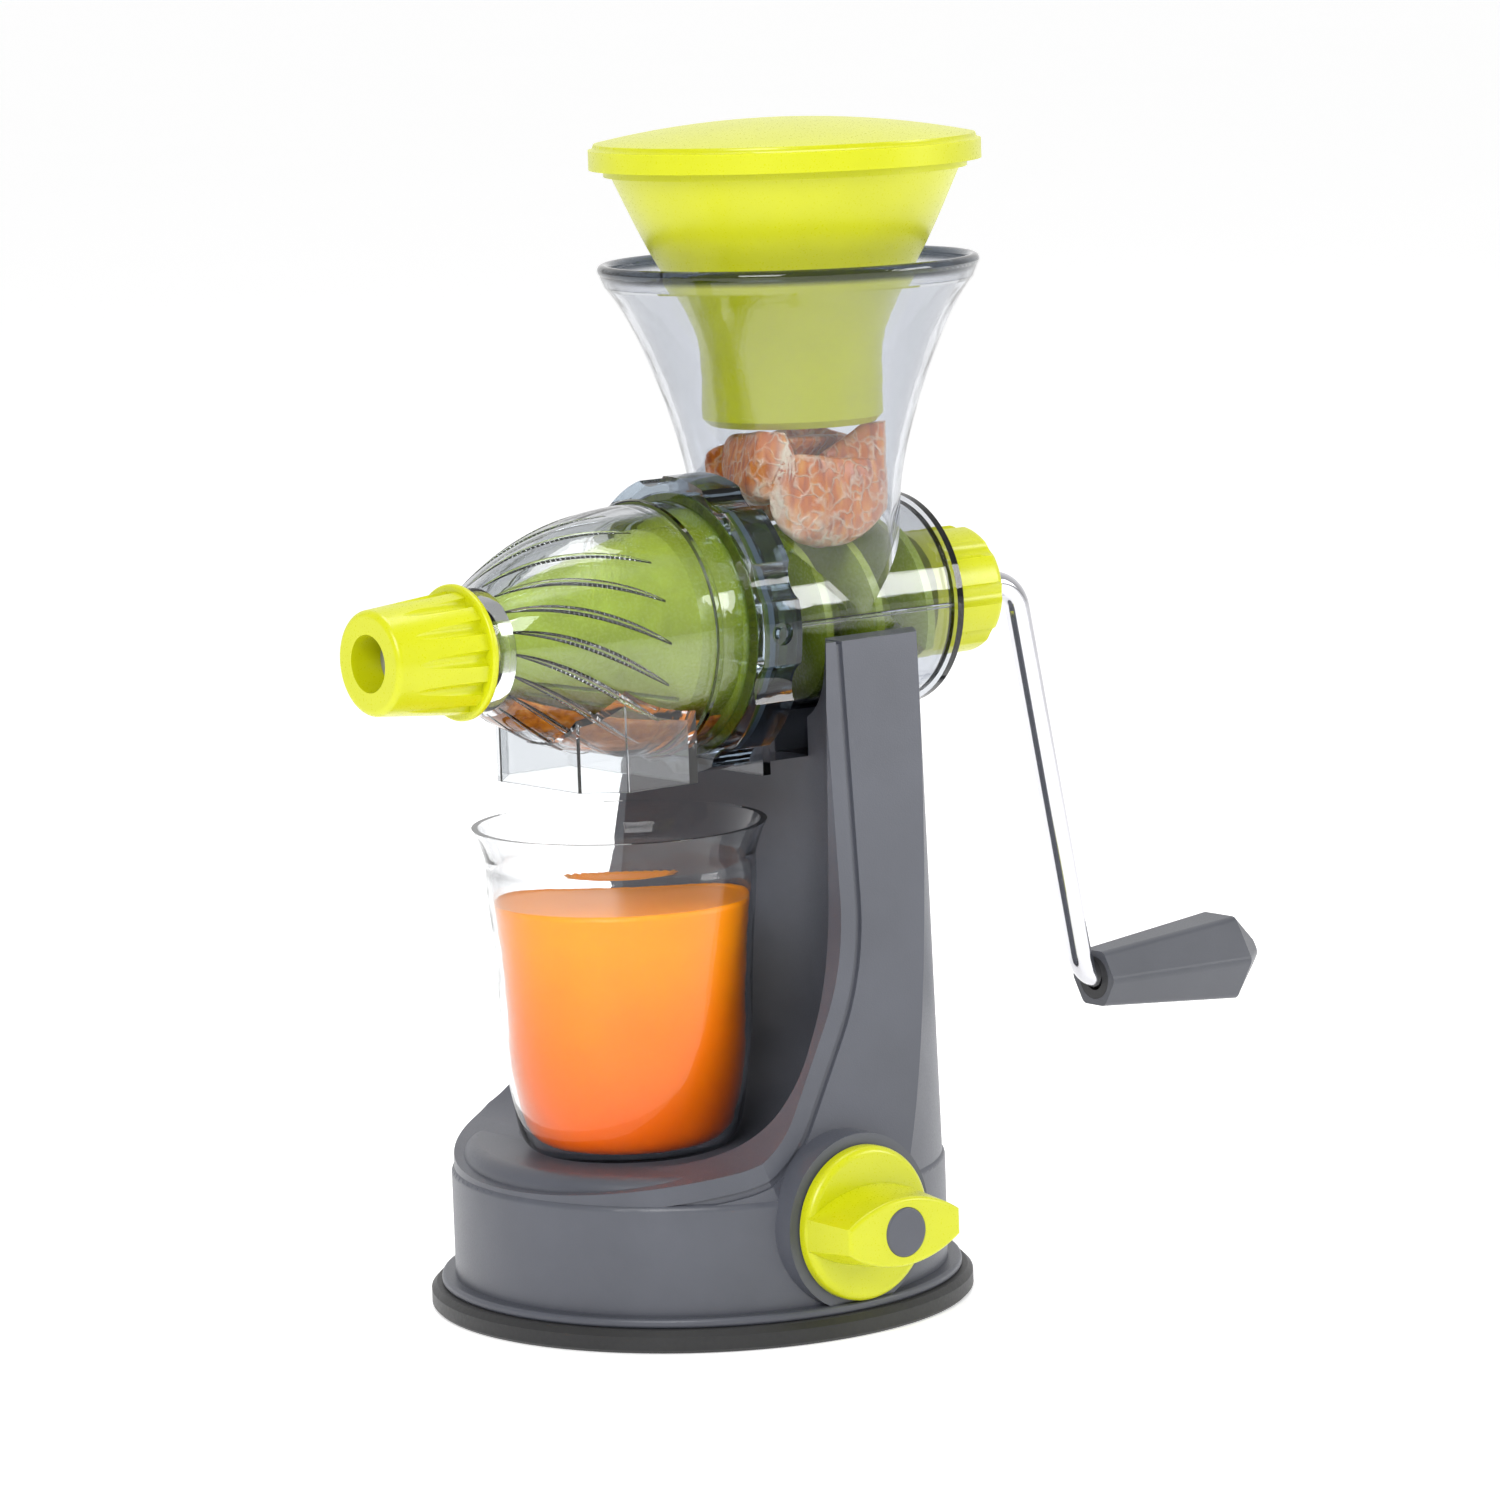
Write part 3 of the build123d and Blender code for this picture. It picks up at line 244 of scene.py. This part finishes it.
def shell_of(name):
    """The faces of a CAD node, to lay trim on."""
    depsgraph = bpy.context.evaluated_depsgraph_get()
    return BVHTree.FromObject(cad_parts[name], depsgraph)


def piece(name, points, faces, material, body, smooth=True):
    """A piece from its points and faces, finished and fixed to a body."""
    mesh = bpy.data.meshes.new(name)
    mesh.from_pydata(points, [], faces)
    mesh.update()
    form = bmesh.new()
    form.from_mesh(mesh)
    bmesh.ops.recalc_face_normals(form, faces=form.faces)
    form.to_mesh(mesh)
    form.free()
    for face in mesh.polygons:
        face.use_smooth = smooth
    thing = bpy.data.objects.new(name, mesh)
    bpy.context.scene.collection.objects.link(thing)
    thing.data.materials.append(material)
    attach(thing, body)
    return thing


def grid_faces(rows, columns, around=False, first=0):
    """Faces of a grid of points laid row by row; around joins the last column to the first."""
    wide = columns if around else columns - 1
    return [
        (
            first + r * columns + c,
            first + r * columns + (c + 1) % columns,
            first + (r + 1) * columns + (c + 1) % columns,
            first + (r + 1) * columns + c,
        )
        for r in range(rows - 1)
        for c in range(wide)
    ]


# the mould's parting line stands along both flanks of the barrel, as a low ridge
parting_from, parting_to = 15.5 * mm, 74 * mm
parting_stations = 40
ridge_section = [(-0.3, -0.7), (0.28, -0.25), (0.28, 0.25), (-0.3, 0.7)]  # out and up, in mm
ridge_corners = len(ridge_section)
barrel_shell = shell_of("barrel")
for side, flank in (("near", -1), ("far", 1)):
    points = []
    for i in range(parting_stations):
        x = parting_from + (parting_to - parting_from) * i / (parting_stations - 1)
        start = Vector((x, flank * clear_out, axis_z))
        wall = barrel_shell.ray_cast(start, Vector((0, -flank, 0)))[0]
        for out, up in ridge_section:
            points.append((x, flank * (abs(wall.y) + out * mm), axis_z + up * mm))
    faces = grid_faces(parting_stations, ridge_corners, around=True)
    faces += [tuple(range(ridge_corners)), tuple(range(len(points) - ridge_corners, len(points)))]
    piece("barrel_parting_" + side, points, faces, smoke_barrel, "barrel_unit", False)


# ---- Auger and strainer
# The screw that crushes the fruit and the slotted cone round its tip are moulded in
# translucent olive nylon, wet with juice when in use.
olive_nylon = moulded("olive_nylon", (0.34, 0.43, 0.045), 0.26, 0.8 * mm, 0.015 * mm, 0.25)
olive_shader = olive_nylon.node_tree.nodes["Principled BSDF"]
olive_shader.inputs["Subsurface Weight"].default_value = 0.2
olive_shader.inputs["Subsurface Radius"].default_value = (0.8, 1.0, 0.3)
olive_shader.inputs["Subsurface Scale"].default_value = 2 * mm
dress(olive_nylon, "auger", "strainer")


# ---- Cone housing
# The juicing cone, its lobed collar and the open spout under it are one moulding in the
# same smoke-tinted plastic. Slanted ribs stiffen the cone.
collar_start, collar_body = -4 * mm, -1.5 * mm
smoke_cone = clear(
    "smoke_san_cone",
    (0.82, 0.84, 0.86),
    (0.06, 0.08, 0.10),
    0.88,
    deep=("X", collar_start, collar_body, (0.26, 0.33, 0.40)),
)
dress(smoke_cone, "cone_housing")

rib_clear = clear("smoke_san_rib", (0.90, 0.92, 0.93), (0.48, 0.50, 0.53), 0.95)
cone_shell = shell_of("cone_housing")


def cone_at(x):
    """Outside radius of the cone, felt from straight above."""
    return cone_shell.ray_cast(Vector((x, 0, axis_z + clear_out)), Vector((0, 0, -1)))[0].z - axis_z


rib_count, rib_twist = 18, radians(40)
rib_from, rib_to = -68 * mm, -28 * mm
rib_stations, rib_corners = 36, 7
rib_height, rib_sunk = 0.5 * mm, 0.08 * mm
rib_end_half_w, rib_half_w = 0.3 * mm, 1.3 * mm
rib_point = 0.03  # how full a rib still is at its two ends
for rib in range(rib_count):
    points = []
    for i in range(rib_stations):
        share = i / (rib_stations - 1)
        x = rib_from + (rib_to - rib_from) * share
        turn = 2 * pi * rib / rib_count + rib_twist * share
        swell = sin(pi * share) ** 0.7 if 0 < i < rib_stations - 1 else rib_point
        outward = Vector((0, cos(turn), sin(turn)))
        sideways = Vector((0, -sin(turn), cos(turn)))
        foot = Vector((x, 0, axis_z)) + outward * cone_at(x)
        half_w = rib_end_half_w + (rib_half_w - rib_end_half_w) * swell
        for corner in range(rib_corners):
            across = 2 * corner / (rib_corners - 1) - 1
            lift = (1 - across * across) * rib_height * swell - rib_sunk
            points.append(foot + outward * lift + sideways * across * half_w)
    faces = grid_faces(rib_stations, rib_corners)
    faces += [tuple(range(rib_corners)), tuple(range(len(points) - rib_corners, len(points)))]
    # the underside, which is sunk in the cone's wall
    rows = range(0, len(points), rib_corners)
    faces += [(a, a + rib_corners - 1, b + rib_corners - 1, b) for a, b in zip(rows, rows[1:])]
    piece(f"cone_rib_{rib + 1:02d}", points, faces, rib_clear, "cone_unit")


# ---- Pulp
# Wet crushed pulp, which the screw presses through the strainer's slots. It gathers in
# the bottom of the cone as a lumpy layer between the strainer and the housing.
pulp_look, tree, shader, place = surface("wet_pulp")
lumps = noise(tree, place, 3 * mm, 5, 0.6)
pulp_tone = ramp(
    tree, lumps, (0.3, (0.30, 0.07, 0.01)), (0.55, (0.62, 0.20, 0.02)), (0.75, (0.80, 0.42, 0.10))
)
tree.links.new(pulp_tone, shader.inputs["Base Color"])
shader.inputs["Roughness"].default_value = 0.2
relief(tree, shader, lumps, 0.6 * mm)
sieve_tip_x, sieve_tip_r = -65 * mm, 12 * mm
sieve_root_x, sieve_root_r = -14 * mm, 27.3 * mm
pulp_from, pulp_to = -64 * mm, -5 * mm
pulp_spread = 46  # degrees up each side from the bottom
housing_wall = 2.9 * mm  # with the film of juice on it
sieve_film = 0.2 * mm
thinnest = 0.08  # of the space, at the pulp's edge
lump_turns = 31 / (30 * mm), 27 / (30 * mm)  # radians for each metre along the cone
rows, columns = 44, 26
inner, outer = [], []
for i in range(rows):
    x = pulp_from + (pulp_to - pulp_from) * i / (rows - 1)
    housing_r = cone_at(x) - housing_wall
    share = min(1.0, (x - sieve_tip_x) / (sieve_root_x - sieve_tip_x))
    sieve_r = sieve_tip_r + (sieve_root_r - sieve_tip_r) * share + sieve_film
    for j in range(columns):
        along = 2 * j / (columns - 1) - 1
        turn = radians(-90 + pulp_spread * along)
        lump = 0.25 * sin(lump_turns[0] * x + 5 * along) + 0.25 * sin(lump_turns[1] * x + 7 * along)
        fill = max(thinnest, (1 - along * along) ** 0.6 * (0.775 + 0.45 * lump))
        for radius, skin in ((housing_r, outer), (housing_r - (housing_r - sieve_r) * fill, inner)):
            skin.append((x, radius * cos(turn), axis_z + radius * sin(turn)))
points = outer + inner
size = rows * columns
faces = grid_faces(rows, columns) + grid_faces(rows, columns, first=size)
# a rim joins the two skins all round
for edge in (
    range(columns),
    range(size - columns, size),
    range(0, size, columns),
    range(columns - 1, size, columns),
):
    faces += [(a, b, b + size, a + size) for a, b in zip(edge, edge[1:])]
piece("pulp", points, faces, pulp_look, "cone_unit")


# ---- Crank
# A steel rod, bent twice, bright chrome plated and polished. It carries a stop ring and a
# turning hexagonal grip with a black bush in its mouth.
chrome = metal("chrome_plate", (0.66, 0.66, 0.69), 0.07, 6 * mm, 0.004 * mm)
dress(chrome, "crank_rod")
dress(zinc, "rod_ring")
grip_abs = moulded("grip_abs", (0.070, 0.074, 0.088), 0.42, 0.4 * mm, 0.03 * mm)
dress(grip_abs, "grip", edge=0.5 * mm)


# ---- Cup and juice
# A tapering cup with a flared rim, moulded in water-clear SAN, and the fresh orange
# juice that stands in it.
clear_san = clear("clear_san", (0.97, 0.975, 0.98), (0.40, 0.41, 0.43), 0.97, ior=1.3)
dress(clear_san, "cup")

cup_low, cup_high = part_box("cup")
cup_x = (cup_low.x + cup_high.x) / 2
cup_shell = shell_of("cup")
juice_floor = cup_low.z + 1.9 * mm
juice_top = 114 * mm
juice_gap = 0.12 * mm  # from the cup's wall
rounds, levels = 96, 44
crowding = 1.15  # levels stand closer together near the bottom


def circle(radius, z):
    """A level ring of points about the cup's axis."""
    turns = [2 * pi * step / rounds for step in range(rounds)]
    return [(cup_x + radius * cos(turn), radius * sin(turn), z) for turn in turns]


points = []
for level in range(levels):
    z = juice_floor + (juice_top - juice_floor) * (level / (levels - 1)) ** crowding
    wall = cup_shell.ray_cast(Vector((cup_x, 0, z)), Vector((0, -1, 0)))[0]
    juice_r = abs(wall.y) - juice_gap
    points += circle(juice_r, z)
# the surface curls up where it wets the wall: in from the wall and down, in mm
meniscus = [(0.6, 0.35), (1.5, 0.7), (3.5, 0.85)]
for inward, drop in meniscus:
    points += circle(juice_r - inward * mm, juice_top - drop * mm)
faces = grid_faces(levels + len(meniscus), rounds, around=True)
faces += [tuple(range(rounds)), tuple(range(len(points) - rounds, len(points)))]


def maths(tree, operation, *terms, clamp=False):
    """Works on levels; each term is a number or another node's output."""
    node = tree.nodes.new("ShaderNodeMath")
    node.operation = operation
    node.use_clamp = clamp
    for socket, term in zip(node.inputs, terms):
        if isinstance(term, float):
            socket.default_value = term
        else:
            tree.links.new(term, socket)
    return node.outputs[0]


# the juice is deeper in colour towards the bottom, with clouds of fine pulp
juice_look, tree, shader, place = surface("orange_juice")
rise = stretch_share(tree, place, "Z", juice_floor, juice_top)
clouded = maths(tree, "MULTIPLY_ADD", noise(tree, place, 18 * mm, 4), 0.25, rise)
juice_tone = ramp(
    tree, clouded, (0.1, (0.75, 0.10, 0.0)), (0.6, (0.82, 0.17, 0.0)), (1.0, (0.88, 0.26, 0.0))
)
tree.links.new(juice_tone, shader.inputs["Base Color"])
shader.inputs["Roughness"].default_value = 0.3
shader.inputs["Specular IOR Level"].default_value = 0.15
shader.inputs["Subsurface Weight"].default_value = 0.1
shader.inputs["Subsurface Radius"].default_value = (1.0, 0.35, 0.02)
shader.inputs["Subsurface Scale"].default_value = 6 * mm
relief(tree, shader, noise(tree, place, 9 * mm, 2), 0.05 * mm)
piece("juice", points, faces, juice_look, "cup_unit")


# ---- Fruit
# Peeled mandarin segments lie in the hopper's throat between the pusher and the auger,
# pressed against the walls, with white pith on their skins.
segment_look, tree, shader, place = surface("mandarin_segment")
lengthen = tree.nodes.new("ShaderNodeMapping")
lengthen.inputs["Scale"].default_value = (1, 1, 0.22)
tree.links.new(place, lengthen.inputs["Vector"])
fibres = noise(tree, lengthen.outputs["Vector"], 2.2 * mm, 4, 0.6)
flesh = ramp(
    tree, fibres, (0.3, (0.36, 0.05, 0.002)), (0.5, (0.68, 0.16, 0.006)), (0.72, (0.85, 0.33, 0.03))
)
# a net of pith threads with meshes of about 5 mm, pulled out of true
veins = tree.nodes.new("ShaderNodeTexVoronoi")
veins.feature = "DISTANCE_TO_EDGE"
veins.inputs["Scale"].default_value = 1 / (5.5 * mm)
warp = tree.nodes.new("ShaderNodeTexNoise")
warp.inputs["Scale"].default_value = 1 / (6 * mm)
tree.links.new(place, warp.inputs["Vector"])
push = tree.nodes.new("ShaderNodeVectorMath")
push.operation = "MULTIPLY_ADD"
tree.links.new(warp.outputs["Color"], push.inputs[0])
push.inputs[1].default_value = (9 * mm, 9 * mm, 9 * mm)
tree.links.new(place, push.inputs[2])
tree.links.new(push.outputs[0], veins.inputs["Vector"])
net = ramp(tree, veins.outputs["Distance"], (0.0, 0.9), (0.12, 0.0))
back_pith = tree.nodes.new("ShaderNodeAttribute")
back_pith.attribute_name = "pith"
pith = maths(tree, "MULTIPLY_ADD", net, 0.65, back_pith.outputs["Fac"], clamp=True)
worn = ramp(tree, noise(tree, place, 4 * mm, 3), (0.35, 0.35), (0.6, 1.0))
pith = maths(tree, "MULTIPLY", pith, worn)
segment_tone = layered(tree, pith, flesh, (0.90, 0.77, 0.56))
tree.links.new(segment_tone, shader.inputs["Base Color"])
shader.inputs["Roughness"].default_value = 0.3
relief(tree, shader, pith, 0.5 * mm)

throat_r = 25.4 * mm
auger_r = 25.6 * mm
pusher_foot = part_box("pusher_body")[0].z - 0.4 * mm
segments = [
    # middle x, y, z in mm; turn about Z, lean, roll in degrees; length, width, height in mm
    (38, -18, 216, 4, 8, 14, 44, 8, 14),
    (55, -15, 227, -30, -34, 20, 32, 9, 10),
    (25, -6, 226, 76, 8, -6, 40, 8, 11),
    (45, 17, 220, 176, 8, 6, 42, 8, 13),
    (61, 4, 221, 100, -10, 10, 36, 8, 12),
    (40, 0, 229, 20, 4, 64, 40, 8, 12),
]
rings, rim = 30, 24
tip = 0.03  # how plump a segment still is at its ends
curl = 0.30  # rise of its ends, as a share of half its length
for number, (mx, my, mz, turn, lean, roll, length, width, height) in enumerate(segments):
    middle = Vector((mx, my, mz)) * mm
    spin = (
        Matrix.Rotation(radians(turn), 3, "Z")
        @ Matrix.Rotation(radians(lean), 3, "Y")
        @ Matrix.Rotation(radians(roll), 3, "X")
    )
    half = length / 2
    points, whiteness = [], []
    for ring in range(rings):
        along = -1 + 2 * ring / (rings - 1)
        plump = sqrt(max(0.0, 1 - abs(along) ** 2.4)) + tip
        bend = curl * half * along * along
        for corner in range(rim):
            angle = 2 * pi * corner / rim
            wide = width * plump * cos(angle) * (0.66 - 0.34 * sin(angle))
            tall = height * plump * sin(angle) * (0.8 if sin(angle) < 0 else 1.0) + bend
            puff = 1 + 0.04 * sin(5 * along + 3 * angle + number)
            at = middle + spin @ Vector((along * half, wide * puff, tall)) * mm
            # pressed between the walls, the auger and the pusher's foot
            at.z = min(at.z, pusher_foot)
            if sqrt(at.y**2 + (at.z - axis_z) ** 2) < auger_r:
                at.z = axis_z + sqrt(max(0.0, auger_r**2 - at.y**2))
            reach = sqrt((at.x - hopper_x) ** 2 + at.y**2)
            if reach > throat_r:
                at.x = hopper_x + (at.x - hopper_x) * throat_r / reach
                at.y = at.y * throat_r / reach
            points.append(at)
            # pith clings to the rounded back and to both ends
            rounded_back = max(0.0, -sin(angle)) ** 1.6
            ends = exp(-(((1 - abs(along)) / 0.12) ** 2))
            whiteness.append(0.9 * rounded_back + 0.5 * ends)
    faces = grid_faces(rings, rim, around=True)
    faces += [tuple(range(rim)), tuple(range(rim * (rings - 1), rim * rings))]
    name = f"fruit_segment_{number + 1}"
    segment = piece(name, points, faces, segment_look, "barrel_unit")
    segment.data.attributes.new("pith", "FLOAT", "POINT").data.foreach_set("value", whiteness)


# ---- Studio
# A plain pale floor and a pale surround under large soft lamps. The camera looks from
# between the nozzle and the knob, a little from above, with a long lens.
floor_look, tree, shader, place = surface("pale_floor")
floor_tone = ramp(tree, noise(tree, place, 0.5, 2), (0.0, 0.92), (1.0, 0.94))
tree.links.new(floor_tone, shader.inputs["Base Color"])
shader.inputs["Roughness"].default_value = 0.7
shader.inputs["Emission Color"].default_value = (1, 1, 1, 1)
shader.inputs["Emission Strength"].default_value = 0.42
half = 30.0  # of the floor's side
corners = [(-half, -half, 0), (half, -half, 0), (half, half, 0), (-half, half, 0)]
sheet = bpy.data.meshes.new("floor")
sheet.from_pydata(corners, [], [(0, 1, 2, 3)])
floor = bpy.data.objects.new("floor", sheet)
floor.location.z = -0.2 * mm
sheet.materials.append(floor_look)
bpy.context.scene.collection.objects.link(floor)

# the surround is white on the side behind the juicer and greyer opposite
bright_side = (0.616, 0.788, 0.0)
world = bpy.data.worlds.new("studio")
bpy.context.scene.world = world
world.use_nodes = True
tree = world.node_tree
facing = tree.nodes.new("ShaderNodeVectorMath")
facing.operation = "DOT_PRODUCT"
tree.links.new(tree.nodes.new("ShaderNodeTexCoord").outputs["Generated"], facing.inputs[0])
facing.inputs[1].default_value = bright_side
surround = ramp(tree, facing.outputs["Value"], (0.0, 0.42), (0.85, 1.0))
tree.links.new(surround, tree.nodes["Background"].inputs["Color"])

juicer_middle = Vector((0.02, 0, 0.15))
for name, spot, side, power in (
    ("key", (-1.3, -0.9, 1.2), 0.8, 24),
    ("side", (1.3, -1.2, 0.7), 0.6, 10),
    ("top", (0.3, 0.2, 1.8), 0.8, 12),
):
    lamp = bpy.data.lights.new(name, "AREA")
    lamp.size = side
    lamp.energy = power
    lit = bpy.data.objects.new(name, lamp)
    lit.location = spot
    lit.rotation_mode = "QUATERNION"
    lit.rotation_quaternion = (juicer_middle - Vector(spot)).to_track_quat("-Z", "Y")
    bpy.context.scene.collection.objects.link(lit)

bpy.context.scene.view_settings.view_transform = "Standard"

swing, height, roll = radians(-38.07), radians(8.08), radians(-1.97)
view_middle, view_distance = Vector((23.05, 0, 148.78)) * mm, 1.7803
back = Vector((sin(swing) * cos(height), -cos(swing) * cos(height), sin(height)))
lens = bpy.data.cameras.new("camera")
lens.lens = 154.7
lens.sensor_width = 36
lens.clip_start, lens.clip_end = 0.05, 50
camera = bpy.data.objects.new("camera", lens)
camera.location = view_middle + back * view_distance
camera.rotation_mode = "QUATERNION"
camera.rotation_quaternion = (-back).to_track_quat("-Z", "Y") @ Quaternion((0, 0, 1), roll)
bpy.context.scene.collection.objects.link(camera)
bpy.context.scene.camera = camera
